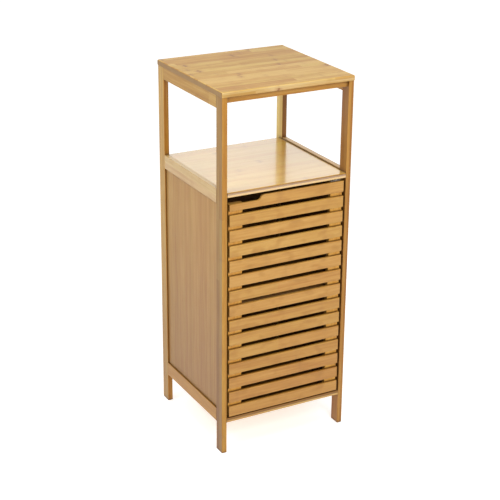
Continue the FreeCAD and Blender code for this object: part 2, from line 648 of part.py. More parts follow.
def make_stile(name, on_left):
    """An upright behind the slats. The left one stops at the notch, and the right one turns on the pivots."""
    width = "left_stile_width" if on_left else "right_stile_width"
    left = DOOR_LEFT if on_left else f"({DOOR_RIGHT} - right_stile_width)"
    line = LEFT_SCREW_LINE if on_left else RIGHT_SCREW_LINE
    top = NOTCH_FLOOR if on_left else DOOR_TOP
    stile = new_board(width, "stile_thickness", f"{top} - {DOOR_BOTTOM}")
    levels = [f"{slat_screw_height(number)} - {DOOR_BOTTOM}" for number in SLAT_NUMBERS]
    screws = [(f"{line} - {left}", level) for level in levels]
    drill(stile, "Y", "stile_thickness", False, screws, SCREW_HOLE, "stile_thickness")
    drill(stile, "Y", "stile_thickness", False, screws, HEAD_HOLE, HEAD_SEAT)
    if on_left:
        stud = [(f"{width} / 2", f"{STRIKE_BOTTOM} + strike_height / 2 - {DOOR_BOTTOM}")]
        drill(stile, "Y", "stile_thickness", False, stud, SCREW_HOLE, "stud_length + fastener_play")
    else:
        pivot = [(f"{PIVOT_ACROSS} - {left}", STILE_MIDDLE)]
        reach = "pivot_reach + running_gap"
        drill(stile, "Z", ZERO, True, pivot, RUNNING_HOLE, reach)
        drill(stile, "Z", DOOR_HEIGHT, False, pivot, RUNNING_HOLE, reach)
        plate_screw = [(f"{PLATE_SCREW_ACROSS} - {left}", STILE_MIDDLE)]
        drill(stile, "Z", DOOR_HEIGHT, False, plate_screw, SCREW_HOLE, BOARD_BITE)
    dress(stile, "Fillet", UPRIGHT_CORNERS, "rail_round")
    place(stile, left, STILE_FRONT, DOOR_BOTTOM)
    return keep(stile, name)


# ---------------------------------------------------------------- hinge and catch


def make_plate(name, bottom, pin_hole, seat_is_low):
    """One leaf of the top pivot, with its pin hole and the sunk seat of its screw."""
    plate = new_board("plate_length", "plate_width", "plate_thickness")
    middle = "plate_width / 2"
    pin = [("plate_length - plate_end", middle)]
    drill(plate, "Z", ZERO, True, pin, pin_hole, "plate_thickness")
    screw = [("head_diameter", middle)]
    drill(plate, "Z", ZERO, True, screw, SCREW_HOLE, "plate_thickness")
    face = ZERO if seat_is_low else "plate_thickness"
    drill(plate, "Z", face, seat_is_low, screw, HEAD_HOLE, HEAD_SEAT)
    place(plate, PLATE_LEFT, f"{PIVOT_BACK} - plate_width / 2", bottom)
    return keep(plate, name)


def new_cylinder(diameter, length):
    rod = doc.addObject("Part::Cylinder", "Rod")
    rod.setExpression("Radius", bound(f"({diameter}) / 2"))
    rod.setExpression("Height", bound(length))
    return rod


def make_pivot_pin(name, bottom, length):
    pin = new_cylinder("pivot_diameter", length)
    place(pin, PIVOT_ACROSS, PIVOT_BACK, bottom)
    return keep(pin, name)


def make_washer(name, bottom, thickness):
    disc = new_cylinder("washer_diameter", thickness)
    bore = new_cylinder(PIN_HOLE, thickness)
    washer = doc.addObject("Part::Cut", "Washer")
    washer.Base = disc
    washer.Tool = bore
    place(washer, PIVOT_ACROSS, PIVOT_BACK, bottom)
    return keep(washer, name)


def make_catch_body():
    """Housing of the magnetic catch, open at the front for its magnet."""
    body = new_board("catch_length", "catch_depth", "catch_height")
    groove(body, "Y", ZERO, True, f"{MAGNET_LEFT} - {CATCH_LEFT} - fastener_play",
           f"{MAGNET_BOTTOM} - floor_top - fastener_play", "magnet_length + 2 * fastener_play",
           "magnet_height + 2 * fastener_play", "magnet_depth + fastener_play")
    screws = [(f"{spot} - {CATCH_LEFT}", f"{CATCH_SCREW_BACK} - {CATCH_FRONT}") for spot in CATCH_SCREW_SPOTS]
    drill(body, "Z", "catch_height", False, screws, SCREW_HOLE, "catch_height")
    drill(body, "Z", "catch_height", False, screws, HEAD_HOLE, HEAD_SEAT)
    dress(body, "Fillet", UPRIGHT_CORNERS, "rail_round")
    place(body, CATCH_LEFT, CATCH_FRONT, "floor_top")
    return keep(body, "catch_body")


def make_magnet():
    magnet = doc.addObject("Part::Box", "Magnet")
    magnet.setExpression("Length", bound("magnet_length"))
    magnet.setExpression("Width", bound("magnet_depth"))
    magnet.setExpression("Height", bound("magnet_height"))
    place(magnet, MAGNET_LEFT, CATCH_FRONT, MAGNET_BOTTOM)
    return keep(magnet, "catch_magnet")


def make_strike_plate():
    """Steel plate on the back of the left stile, held by a stud on its own back."""
    plate = doc.addObject("Part::Box", "Plate")
    plate.setExpression("Length", bound("magnet_length"))
    plate.setExpression("Width", bound("strike_thickness"))
    plate.setExpression("Height", bound("strike_height"))
    stud = new_cylinder("screw_diameter", "stud_length + strike_thickness")
    stud.Placement.Rotation = FreeCAD.Rotation(UP, FORWARD)
    place(stud, "magnet_length / 2", "strike_thickness", "strike_height / 2")
    strike = doc.addObject("Part::Fuse", "Strike")
    strike.Base = plate
    strike.Tool = stud
    place(strike, f"{LEFT_SCREW_LINE} - magnet_length / 2", DOOR_BACK, STRIKE_BOTTOM)
    return keep(strike, "strike_plate")


# ---------------------------------------------------------------- fasteners


def turned(thing, direction):
    """Turns a piece that was made along Z so that it points in a direction."""
    thing.Placement.Rotation = FreeCAD.Rotation(UP, direction)
    return thing


def new_screw(length, direction, across, back, up):
    """A screw whose head's outer face is at the given place and whose shank points in the given direction."""
    shank = new_cylinder("screw_diameter", length)
    head = new_cylinder("head_diameter", "head_height")
    screw = doc.addObject("Part::Fuse", "Screw")
    screw.Base = shank
    screw.Tool = head
    place(turned(screw, direction), across, back, up)
    return screw


def new_rod(diameter, length, direction, across, back, up):
    rod = turned(new_cylinder(diameter, length), direction)
    place(rod, across, back, up)
    return rod


def group(name, members):
    """Identical fasteners as one sub-part of separate solids."""
    compound = doc.addObject("Part::Compound", "Fasteners")
    compound.Links = members
    return keep(compound, name)


def make_dowels():
    dowels = []
    length = f"{DOWEL_IN_LEG} + dowel_seat"
    starts = (f"{FRONT} + leg_depth - {DOWEL_IN_LEG}", f"{BACK} - leg_depth - dowel_seat")
    for bottom, height in SIDE_RAIL_ROWS.values():
        for level in rail_dowel_heights(bottom, height):
            for across in (f"{LEFT} + rail_thickness / 2", f"{RIGHT} - rail_thickness / 2"):
                for start in starts:
                    dowels.append(new_rod("dowel_diameter", length, BACKWARD, across, start, level))
    length = f"{CROSS_DOWEL_IN_LEG} + cross_dowel_seat"
    ends = ((OUT_RIGHT, f"{LEFT} + cross_dowel_wall"), (OUT_LEFT, f"{RIGHT} - cross_dowel_wall"))
    for back in (f"{FRONT} + {CROSS_RAIL_MIDDLE}", f"{BACK} - {CROSS_RAIL_MIDDLE}"):
        for side, across in ends:
            dowels.append(new_rod("dowel_diameter", length, side, across, back, CROSS_DOWEL_HEIGHT))
    group("frame_dowels", dowels)


def make_cams():
    """Cam locks under the two fixed boards, and the bolts that tie them to the side rails."""
    locks, bolts = [], []
    inset = f"({SIDE_WIDTH} + cam_inset)"
    bolt_start = "(rail_thickness - cam_bolt_seat)"
    length = f"{inset} - {bolt_start} - cam_diameter / 2 - 2 * fastener_play"
    for bottom, middle in ((SHELF_BOTTOM, SHELF_MIDDLE), (FLOOR_BOTTOM, FLOOR_MIDDLE)):
        for spot in CAM_SPOTS:
            back = f"{FRONT} + {spot}"
            for edge, sign, side in ((LEFT, "+", OUT_RIGHT), (RIGHT, "-", OUT_LEFT)):
                across = f"{edge} {sign} {inset}"
                locks.append(new_rod("cam_diameter", "cam_height", UP, across, back, bottom))
                start = f"{edge} {sign} {bolt_start}"
                bolts.append(new_rod("cam_bolt_diameter", length, side, start, back, middle))
    group("cam_locks", locks)
    group("cam_bolts", bolts)


def make_screws():
    rows = (f"{FRONT} + {CROSS_RAIL_MIDDLE}", f"{BACK} - {CROSS_RAIL_MIDDLE}")
    group("top_screws", [new_screw(TOP_SCREW, UP, spot, row, CROSS_RAIL_BOTTOM)
                         for row in rows for spot in TOP_SCREW_SPOTS])
    rear = f"{BACK_PANEL_FRONT} + panel_thickness"
    group("back_panel_screws", [new_screw("back_screw_length", FORWARD, spot, rear, level)
                                for level in BACK_SCREW_LEVELS for spot in BACK_SCREW_SPOTS])
    batten_faces = ((f"{LEFT} + {PANEL_INNER} + batten_width", OUT_LEFT),
                    (f"{RIGHT} - {PANEL_INNER} - batten_width", OUT_RIGHT))
    rows = [f"{FRONT} + leg_depth + {spot}" for spot in BATTEN_SCREW_SPOTS]
    group("batten_screws", [new_screw(BATTEN_SCREW, side, face, row, BATTEN_MIDDLE)
                            for face, side in batten_faces for row in rows])
    group("slat_screws", [new_screw(SLAT_SCREW, FORWARD, line, DOOR_BACK, slat_screw_height(number))
                          for line in (LEFT_SCREW_LINE, RIGHT_SCREW_LINE) for number in SLAT_NUMBERS])
    group("catch_screws", [new_screw(CATCH_SCREW, DOWN, spot, CATCH_SCREW_BACK, CATCH_TOP)
                           for spot in CATCH_SCREW_SPOTS])
    frame_screw = new_screw(PLATE_SCREW, UP, PLATE_SCREW_ACROSS, PIVOT_BACK, FRAME_PLATE_BOTTOM)
    keep(frame_screw, "hinge_frame_screw")
    door_screw = new_screw(PLATE_SCREW, DOWN, PLATE_SCREW_ACROSS, PIVOT_BACK, DOOR_PLATE_TOP)
    keep(door_screw, "hinge_door_screw")


# ---------------------------------------------------------------- the whole cabinet


def make_frame():
    for at_front, end in ((True, "front"), (False, "back")):
        for on_left, side in ((True, "left"), (False, "right")):
            make_leg(f"{end}_{side}_leg", on_left, at_front)
        make_cross_rail(f"top_{end}_rail", at_front)
    for row in SIDE_RAIL_ROWS:
        make_side_rail(f"{row}_left_rail", True, row)
        make_side_rail(f"{row}_right_rail", False, row)
    make_top_board()


def make_cupboard():
    make_fixed_board("shelf_board", SHELF_BOTTOM, shelf_hinge_seats)
    make_fixed_board("floor_board", FLOOR_BOTTOM, floor_hinge_seats)
    for on_left, side in ((True, "left"), (False, "right")):
        make_side_panel(f"{side}_side_panel", on_left)
        make_batten(f"inner_{side}_batten", on_left)
    make_back_panel()
    make_inner_shelf()


def make_door():
    make_stile("door_left_stile", True)
    make_stile("door_right_stile", False)
    for number in SLAT_NUMBERS:
        make_slat(number)


def make_hardware():
    make_plate("hinge_frame_plate", FRAME_PLATE_BOTTOM, PIN_HOLE, True)
    make_plate("hinge_door_plate", DOOR_TOP, RUNNING_HOLE, False)
    top_length = "pivot_seat + door_top_gap + pivot_reach"
    make_pivot_pin("hinge_top_pin", f"{DOOR_TOP} - pivot_reach", top_length)
    bottom_length = "pivot_seat + door_bottom_gap + pivot_reach"
    make_pivot_pin("hinge_bottom_pin", "floor_top - pivot_seat", bottom_length)
    top_washer = "door_top_gap - 2 * plate_thickness - running_gap"
    make_washer("hinge_top_washer", f"{FRAME_PLATE_BOTTOM} - ({top_washer})", top_washer)
    make_washer("hinge_bottom_washer", "floor_top", "door_bottom_gap - running_gap")
    make_catch_body()
    make_magnet()
    make_strike_plate()
    make_dowels()
    make_cams()
    make_screws()


def check_document():
    for thing in doc.Objects:
        if "Invalid" in thing.State or "Error" in thing.State:
            raise RuntimeError(f"{thing.Label} failed: {thing.State}")
    broken = [thing.Label for thing in sub_parts if thing.Shape.isNull() or not thing.Shape.isValid()]
    if broken:
        raise RuntimeError(f"no valid shape: {broken}")


def write_parts():
    os.makedirs("parts", exist_ok=True)
    for thing in sub_parts:
        thing.Shape.exportStep(os.path.join("parts", thing.Label + ".step"))
        print(thing.Label, len(thing.Shape.Solids), round(thing.Shape.Volume, 1))


make_sheet()
make_frame()
make_cupboard()
make_door()
make_hardware()
doc.recompute()
check_document()
write_parts()
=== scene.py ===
"""Looks of the slatted-door bamboo cabinet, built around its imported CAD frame. Lengths are in metres."""

import math
from typing import NamedTuple

import bmesh
import bpy
from mathutils import Matrix, Quaternion, Vector


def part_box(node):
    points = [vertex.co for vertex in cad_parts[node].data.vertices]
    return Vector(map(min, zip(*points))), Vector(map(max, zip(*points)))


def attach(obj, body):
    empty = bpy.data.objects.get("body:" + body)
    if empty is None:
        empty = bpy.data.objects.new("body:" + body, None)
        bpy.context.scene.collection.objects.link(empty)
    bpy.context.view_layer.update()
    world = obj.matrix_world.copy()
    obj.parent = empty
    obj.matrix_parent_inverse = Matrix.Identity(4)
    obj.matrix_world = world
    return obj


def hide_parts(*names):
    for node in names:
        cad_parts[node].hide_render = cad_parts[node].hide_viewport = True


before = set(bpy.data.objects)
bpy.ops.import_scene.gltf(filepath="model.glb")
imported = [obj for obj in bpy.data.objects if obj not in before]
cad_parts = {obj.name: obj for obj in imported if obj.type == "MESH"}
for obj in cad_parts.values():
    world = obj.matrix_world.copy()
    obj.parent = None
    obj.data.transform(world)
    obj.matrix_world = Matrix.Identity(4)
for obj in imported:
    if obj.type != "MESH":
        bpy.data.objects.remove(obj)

MM = 0.001
X, Y, Z = 0, 1, 2
WHITE = (1.0, 1.0, 1.0)
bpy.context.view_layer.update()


# ---------------------------------------------------------------- shader building


class Shader:
    """A material's node tree, with short ways to add the nodes that the recipes here need."""

    def __init__(self, name):
        self.material = bpy.data.materials.new(name)
        self.material.use_nodes = True
        self.tree = self.material.node_tree
        self.surface = self.tree.nodes["Principled BSDF"]

    def add(self, kind, **settings):
        made = self.tree.nodes.new("ShaderNode" + kind)
        for key, value in settings.items():
            setattr(made, key, value)
        return made

    def feed(self, socket, value):
        """Links a socket to another node's output, or sets it to a plain value."""
        if isinstance(value, bpy.types.NodeSocket):
            self.tree.links.new(value, socket)
        else:
            socket.default_value = value

    def feed_surface(self, name, value):
        self.feed(self.surface.inputs[name], value)

    def calc(self, operation, *values):
        made = self.add("Math", operation=operation)
        for socket, value in zip(made.inputs, values):
            self.feed(socket, value)
        return made.outputs[0]

    def vector(self, *values):
        made = self.add("CombineXYZ")
        for socket, value in zip(made.inputs, values):
            self.feed(socket, value)
        return made.outputs[0]

    def split(self, vector):
        made = self.add("SeparateXYZ")
        self.feed(made.inputs[0], vector)
        return made.outputs

    def stretch(self, parts, shares):
        """A vector of the given parts, each multiplied by its share."""
        return self.vector(*(self.calc("MULTIPLY", part, share) for part, share in zip(parts, shares)))

    def random(self, *values):
        """Three steady random numbers for a cell named by up to three numbers."""
        made = self.add("TexWhiteNoise", noise_dimensions="3D")
        self.feed(made.inputs["Vector"], self.vector(*values))
        return self.split(made.outputs["Color"])

    def noise(self, vector, scale, detail=2.0, roughness=0.5, distortion=0.0):
        made = self.add("TexNoise")
        self.feed(made.inputs["Vector"], vector)
        settings = {"Scale": scale, "Detail": detail, "Roughness": roughness, "Distortion": distortion}
        for key, value in settings.items():
            made.inputs[key].default_value = value
        return made.outputs["Fac"]

    def spread(self, value, low, high, new_low=0.0, new_high=1.0):
        """Maps a range smoothly onto another."""
        made = self.add("MapRange", interpolation_type="SMOOTHSTEP")
        for socket, number in zip(made.inputs, (value, low, high, new_low, new_high)):
            self.feed(socket, number)
        return made.outputs[0]

    def ramp(self, value, stops):
        """A colour for the value, from stops of (place, colour)."""
        made = self.add("ValToRGB")
        self.feed(made.inputs[0], value)
        elements = made.color_ramp.elements
        while len(elements) < len(stops):
            elements.new(0.5)
        for element, (place, colour) in zip(elements, stops):
            element.position = place
            element.color = (*colour, 1.0)
        return made.outputs[0]

    def blend(self, share, first, second, mode="MIX"):
        made = self.add("Mix", data_type="RGBA", blend_type=mode)
        self.feed(made.inputs["Factor"], share)
        for socket, colour in zip((made.inputs["A"], made.inputs["B"]), (first, second)):
            self.feed(socket, colour if isinstance(colour, bpy.types.NodeSocket) else (*colour, 1.0))
        return made.outputs["Result"]

    def times(self, first, second):
        """Two colours multiplied."""
        return self.blend(1.0, first, second, "MULTIPLY")

    def bump(self, height, distance, strength):
        made = self.add("Bump")
        made.inputs["Distance"].default_value = distance
        made.inputs["Strength"].default_value = strength
        self.feed(made.inputs["Height"], height)
        self.feed_surface("Normal", made.outputs[0])

    def finish(self, **constants):
        """Sets the shader's plain values by their names and returns the material."""
        for key, value in constants.items():
            self.surface.inputs[key.replace("_", " ").title().replace("Ior", "IOR")].default_value = value
        return self.material


# ---------------------------------------------------------------- bamboo


class Wood(NamedTuple):
    """How one kind of bamboo piece looks. Colours are in linear light, and strengths go from 0 to about 1."""

    grain: int  # the axis that the fibres run along
    widths: tuple  # of the glued strips, along the two other axes in their order
    length: float  # of a strip, along the grain
    contrast: float  # between one strip and the next
    tones: tuple  # colours of a pale, a middling and a brown strip
    knots: float
    smudges: float
    ends: float  # how dark the end grain is
    edges: float  # how dark the painted shade on rounded edges is
    roughness: float
    shine: float  # the specular level under the lacquer
    coat: float  # the lacquer's weight
    coat_roughness: float
    neighbour_shade: float = 12 * MM  # how near to a neighbour the painted shade darkens the wood


class Tints(NamedTuple):
    """What a piece's colour is multiplied by: as a whole, for its own tone and partly for painted shade, and
    on some of its faces, for painted light and shade.
    """

    whole: tuple = WHITE
    left_light: tuple = WHITE  # painted light and shade on the faces that look left
    left_foot_shade: tuple = WHITE  # painted shade on the same faces, fully at the floor and not at all at FADE_HEIGHT
    front_light: tuple = WHITE  # painted light and shade on the faces that look forward


# Painted shade on the faces inside the cupboard
INNER_SHADE_TINT = (0.42, 0.33, 0.24)
# Painted shade on the upper strip of a banded board's front edge
PAINTED_BAND_SHADE = (0.44, 0.33, 0.12)
NEIGHBOUR_SHADE_BROWN = (0.10, 0.04, 0.01)
END_BROWN = (0.24, 0.14, 0.055)
SMUDGE_BROWN = (0.45, 0.21, 0.028)
GLUE_BROWN = (0.20, 0.085, 0.02)
KNOT_BROWN = (0.26, 0.11, 0.025)
# Brown of the knots' stains, and of the painted shade on rounded edges
STAIN_AND_EDGE_SHADE_BROWN = (0.40, 0.19, 0.045)
PINKISH = (1.0, 0.965, 0.93)
GREENISH = (0.985, 1.0, 0.90)

# Strips: where their rows start, and over how many lengths and metres of noise each is shifted from the next
FIRST_ROW = -0.01 * MM
STAGGER = 9.0
NOISE_SHIFT = 5.0
# Noise scales, and how much slower than across the fibres the noise changes along them
STREAK_SCALE = 160.0
FIBRE_SCALE = 1500.0
CLOUD_SCALE = 14.0
SMUDGE_SCALE = 42.0
FIBRE_STRETCH = 0.05
SMUDGE_STRETCH = 0.6
# Knots are the stalk's joints, one every 230 mm or so on each strip. The reaches are shares of that pitch
KNOT_PITCH = 230 * MM
KNOT_STAGGER = 7.0
KNOT_WAVE = 0.06
STAIN_REACH = (0.004, 0.065)
RIDGE_REACH = (0.004, 0.018)
KNOT_RANGE = (0.35, 0.95, 0.15, 1.0)
# How far streaks, clouds and the end block push a strip's tone, which is 0.5 where it is middling
MIDDLING = 0.5
STREAK_SWING = 1.6
CLOUD_SWING = 0.3
BLOCK_SWING = -0.35
TONE_STOPS = (0.15, MIDDLING, 0.95)
# Ranges of noise that become a share of a colour
HUE_RANGE = (0.25, 0.75)
FIBRE_RANGE = (0.50, 0.70, 0.0, 0.38)
SMUDGE_RANGE = (0.50, 0.72)
# Shares of the marks' colours
STAIN_SHARE = 0.5
RIDGE_SHARE = 0.6
GLUE_SHARE = 0.30
GLUE_LINE = 0.35 * MM
# Ranges of a normal's part along an axis, from a face that doesn't count to one that does
SIDE_FACE = (0.5, 0.9)
FRONT_FACE = (0.3, 0.8)
END_FACE = (0.5, 0.95)
ROUNDED = (0.75, 0.99)
COATED = (0.80, 0.995)
# Height at which the painted shade on left faces near the floor has faded out
FADE_HEIGHT = 0.62
# Range and samples of the painted shade near to a neighbour
NEIGHBOUR_SHADE_RANGE = (0.40, 0.95, 0.80, 0.0)
NEIGHBOUR_SHADE_SAMPLES = 6
# Roughness and relief
ROUGH_SWING = 0.12
RIDGE_HEIGHT = 0.8
FIBRE_HEIGHT = 0.25
GLUE_DEPTH = 0.6
RELIEF = 0.06 * MM
RELIEF_STRENGTH = 0.5
COAT_IOR = 1.9
THICK_COAT = 0.5


class Bamboo(Shader):
    """Laminated bamboo for one piece, whose strips start at its lowest corner."""

    def __init__(self, name, wood, corner, seed):
        super().__init__(name)
        self.wood, self.corner, self.seed = wood, corner, float(seed)
        coordinates = self.add("TexCoord")
        self.place = coordinates.outputs["Object"]
        self.spots = self.split(self.place)
        self.normal = self.split(coordinates.outputs["Normal"])
        self.along = self.spots[wood.grain]
        self.across = [axis for axis in (X, Y, Z) if axis != wood.grain]
        self.lay_strips()
        self.draw_fibres()
        self.draw_knots()
        self.draw_glue()

    def lay_strips(self):
        """Numbers the strips, and gives each its own random shift, tone, hue and knots."""
        self.rows = []
        for axis, width in zip(self.across, self.wood.widths):
            start = self.calc("SUBTRACT", self.spots[axis], self.corner[axis] + FIRST_ROW)
            self.rows.append(self.calc("DIVIDE", start, width))
        self.cells = [self.calc("FLOOR", row) for row in self.rows]
        self.shift, self.knot_shift, _ = self.random(*self.cells, self.seed)
        run = self.calc("DIVIDE", self.along, self.wood.length)
        run = self.calc("ADD", run, self.calc("MULTIPLY", self.shift, STAGGER))
        piece = self.calc("ADD", self.calc("FLOOR", run), self.seed)
        self.tone, self.warmth, self.knot_share = self.random(*self.cells, piece)

    def draw_fibres(self):
        """Broad and fine streaks along the fibres, and a slow cloud over all of the piece."""
        first, second = self.across
        axes = [None, None, None]
        axes[self.wood.grain] = self.calc("MULTIPLY", self.along, FIBRE_STRETCH)
        axes[first] = self.calc("ADD", self.spots[first], self.calc("MULTIPLY", self.shift, NOISE_SHIFT))
        axes[second] = self.spots[second]
        fibre_space = self.vector(*axes)
        self.streaks = self.noise(fibre_space, STREAK_SCALE, detail=3.0, distortion=0.15)
        self.fibres = self.noise(fibre_space, FIBRE_SCALE, roughness=0.7)
        self.cloud = self.noise(self.place, CLOUD_SCALE)

    def centred(self, value):
        return self.calc("SUBTRACT", value, 0.5)

    def draw_knots(self):
        """A broad stain and a narrow ridge at each knot, stronger on some strips than on others."""
        run = self.calc("DIVIDE", self.along, KNOT_PITCH)
        run = self.calc("ADD", run, self.calc("MULTIPLY", self.knot_shift, KNOT_STAGGER))
        run = self.calc("MULTIPLY_ADD", self.centred(self.streaks), KNOT_WAVE, run)
        distance = self.calc("ABSOLUTE", self.centred(self.calc("FRACT", run)))
        strength = self.spread(self.knot_share, *KNOT_RANGE)
        dark = self.wood.knots
        self.stain = self.calc("MULTIPLY", self.spread(distance, *STAIN_REACH, dark, 0.0), strength)
        self.ridge = self.calc("MULTIPLY", self.spread(distance, *RIDGE_REACH, dark ** 2, 0.0), strength)

    def draw_glue(self):
        """Thin lines between the strips."""
        gaps = [self.calc("MULTIPLY", self.calc("PINGPONG", row, 0.5), width)
                for row, width in zip(self.rows, self.wood.widths)]
        self.glue = self.spread(self.calc("MINIMUM", *gaps), 0.0, GLUE_LINE, 1.0, 0.0)

    def colour_strips(self, block):
        """The strips' own colour. A block is the length of a paler stretch at the low end, with a seam."""
        swing = self.calc("MULTIPLY", self.centred(self.tone), self.wood.contrast)
        swing = self.calc("MULTIPLY_ADD", self.centred(self.streaks), STREAK_SWING, swing)
        swing = self.calc("MULTIPLY_ADD", self.centred(self.cloud), CLOUD_SWING, swing)
        if block:
            end = self.corner[self.wood.grain] + block
            swing = self.calc("MULTIPLY_ADD", self.calc("LESS_THAN", self.along, end), BLOCK_SWING, swing)
            seam = self.calc("ABSOLUTE", self.calc("SUBTRACT", self.along, end))
            self.glue = self.calc("MAXIMUM", self.glue, self.spread(seam, 0.0, 2 * GLUE_LINE, 1.0, 0.0))
        stops = tuple(zip(TONE_STOPS, self.wood.tones))
        colour = self.ramp(self.calc("ADD", swing, MIDDLING), stops)
        return self.times(colour, self.blend(self.spread(self.warmth, *HUE_RANGE), GREENISH, PINKISH))

    def add_marks(self, colour):
        """Dark fibres, smudges, knots and glue lines."""
        colour = self.blend(self.spread(self.fibres, *FIBRE_RANGE), colour, self.wood.tones[-1])
        shares = [SMUDGE_STRETCH if axis == self.wood.grain else 1.0 for axis in (X, Y, Z)]
        smudge = self.noise(self.stretch(self.spots, shares), SMUDGE_SCALE, detail=1.0)
        colour = self.blend(self.spread(smudge, *SMUDGE_RANGE, 0.0, self.wood.smudges), colour, SMUDGE_BROWN)
        colour = self.blend(self.calc("MULTIPLY", self.stain, STAIN_SHARE), colour, STAIN_AND_EDGE_SHADE_BROWN)
        colour = self.blend(self.calc("MULTIPLY", self.ridge, RIDGE_SHARE), colour, KNOT_BROWN)
        return self.blend(self.calc("MULTIPLY", self.glue, GLUE_SHARE), colour, GLUE_BROWN)

    def facing(self, axis, sign, reach):
        """One on the faces that look along an axis in the direction of the sign, and zero on others."""
        return self.spread(self.calc("MULTIPLY", self.normal[axis], sign), *reach)

    def add_tints(self, colour, tints, inner, banded):
        """The piece's tints, with painted light and shade on its left and front faces, painted shade as a
        brown upper strip on a banded board's front edge, and painted shade on an inner face.
        """
        left_light = self.facing(X, -1.0, SIDE_FACE)
        front_light = self.facing(Y, -1.0, FRONT_FACE)
        # The mask of the painted shade that darkens left faces towards the floor
        low = self.calc("MULTIPLY", self.spread(self.spots[Z], 0.0, FADE_HEIGHT, 1.0, 0.0), left_light)
        face_light = self.blend(low, self.blend(left_light, WHITE, tints.left_light), tints.left_foot_shade, "MULTIPLY")
        face_light = self.blend(front_light, face_light, tints.front_light)
        colour = self.times(self.times(colour, tints.whole), face_light)
        # Painted shade: the upper strip of the front edge is browned
        if banded:
            upper = self.calc("GREATER_THAN", self.cells[1], 0.5)
            band_shade = self.calc("MULTIPLY", front_light, upper)
            colour = self.blend(band_shade, colour, self.times(colour, PAINTED_BAND_SHADE))
        # Painted shade on the inner face
        if inner:
            colour = self.blend(self.facing(*inner, SIDE_FACE), colour, self.times(colour, INNER_SHADE_TINT))
        return colour

    def darken_ends_and_paint_shade(self, colour, flatness, parts):
        """End grain, which drinks more lacquer, painted shade on rounded edges, and painted shade near to a
        neighbour.
        """
        end_grain = self.spread(parts[self.wood.grain], *END_FACE, 0.0, self.wood.ends)
        colour = self.blend(end_grain, colour, END_BROWN)
        # Painted shade on rounded edges
        colour = self.blend(self.spread(flatness, *ROUNDED, self.wood.edges, 0.0), colour, STAIN_AND_EDGE_SHADE_BROWN)
        # Painted shade: the wood turns dark brown wherever an ambient occlusion node finds a neighbour near
        neighbour_shade = self.add("AmbientOcclusion", samples=NEIGHBOUR_SHADE_SAMPLES)
        neighbour_shade.inputs["Distance"].default_value = self.wood.neighbour_shade
        return self.blend(self.spread(neighbour_shade.outputs["AO"], *NEIGHBOUR_SHADE_RANGE), colour, NEIGHBOUR_SHADE_BROWN)

    def add_relief(self):
        height = self.calc("MULTIPLY", self.fibres, FIBRE_HEIGHT)
        height = self.calc("MULTIPLY_ADD", self.ridge, RIDGE_HEIGHT, height)
        height = self.calc("SUBTRACT", height, self.calc("MULTIPLY", self.glue, GLUE_DEPTH))
        self.bump(height, RELIEF, RELIEF_STRENGTH)

    def lacquer(self, flatness):
        """The coat. A thick one is thinner on rounded edges."""
        if self.wood.coat > THICK_COAT:
            self.feed_surface("Coat Weight", self.spread(flatness, *COATED, 0.0, self.wood.coat))
        else:
            self.finish(coat_weight=self.wood.coat)
        self.finish(coat_ior=COAT_IOR, coat_roughness=self.wood.coat_roughness)


def bamboo(name, wood, corner, seed, tints=Tints(), inner=None, block=None, banded=False):
    """A piece's bamboo. Inner is the axis and sign of its inner face, which gets painted shade, a block is
    the length of the paler stretch at its low end, and a banded board's front edge gets painted shade as a
    brown upper strip."""
    shader = Bamboo(name, wood, corner, seed)
    parts = [shader.calc("ABSOLUTE", part) for part in shader.normal]
    flatness = shader.calc("MAXIMUM", shader.calc("MAXIMUM", parts[X], parts[Y]), parts[Z])
    colour = shader.add_marks(shader.colour_strips(block))
    colour = shader.add_tints(colour, tints, inner, banded)
    shader.feed_surface("Base Color", shader.darken_ends_and_paint_shade(colour, flatness, parts))
    rough = shader.calc("MULTIPLY_ADD", shader.fibres, ROUGH_SWING, wood.roughness - ROUGH_SWING / 2)
    shader.feed_surface("Roughness", rough)
    shader.add_relief()
    shader.lacquer(flatness)
    return shader.finish(specular_ior_level=wood.shine)


# ---------------------------------------------------------------- metal and plastic

METAL_CLOUD_SCALE = 900.0
METAL_SHADE = 0.72
SCRATCH_SCALE = 700.0
SCRATCH_STRETCH = (1.0, 12.0, 12.0)
SCRATCH_DEPTH = 0.01 * MM
SCRATCH_STRENGTH = 0.4
SCRATCH_ROUGHNESS = 0.2
PLASTIC_CLOUD_SCALE = 60.0
PLASTIC_SHADE = 0.85
PLASTIC_GRAIN_SCALE = 2500.0
PLASTIC_GRAIN_DEPTH = 0.02 * MM
PLASTIC_GRAIN_STRENGTH = 0.3
PLASTIC_GRAIN_ROUGHNESS = 0.1
MIDDLE_RANGE = (0.3, 0.7)


def shaded(colour, shade):
    return tuple(shade * part for part in colour)


def metal(name, colour, roughness, cloud_shift=0.0):
    """Plated steel or die-cast zinc, with fine scratches and a cloudy finish."""
    shader = Shader(name)
    place = shader.add("TexCoord").outputs["Object"]
    cloud = shader.noise(place, METAL_CLOUD_SCALE + cloud_shift, detail=4.0)
    scratches = shader.noise(shader.stretch(shader.split(place), SCRATCH_STRETCH), SCRATCH_SCALE)
    shader.feed_surface("Base Color", shader.blend(cloud, colour, shaded(colour, METAL_SHADE)))
    rough = shader.spread(scratches, *MIDDLE_RANGE, roughness, roughness + SCRATCH_ROUGHNESS)
    shader.feed_surface("Roughness", rough)
    shader.bump(scratches, SCRATCH_DEPTH, SCRATCH_STRENGTH)
    return shader.finish(metallic=1.0)


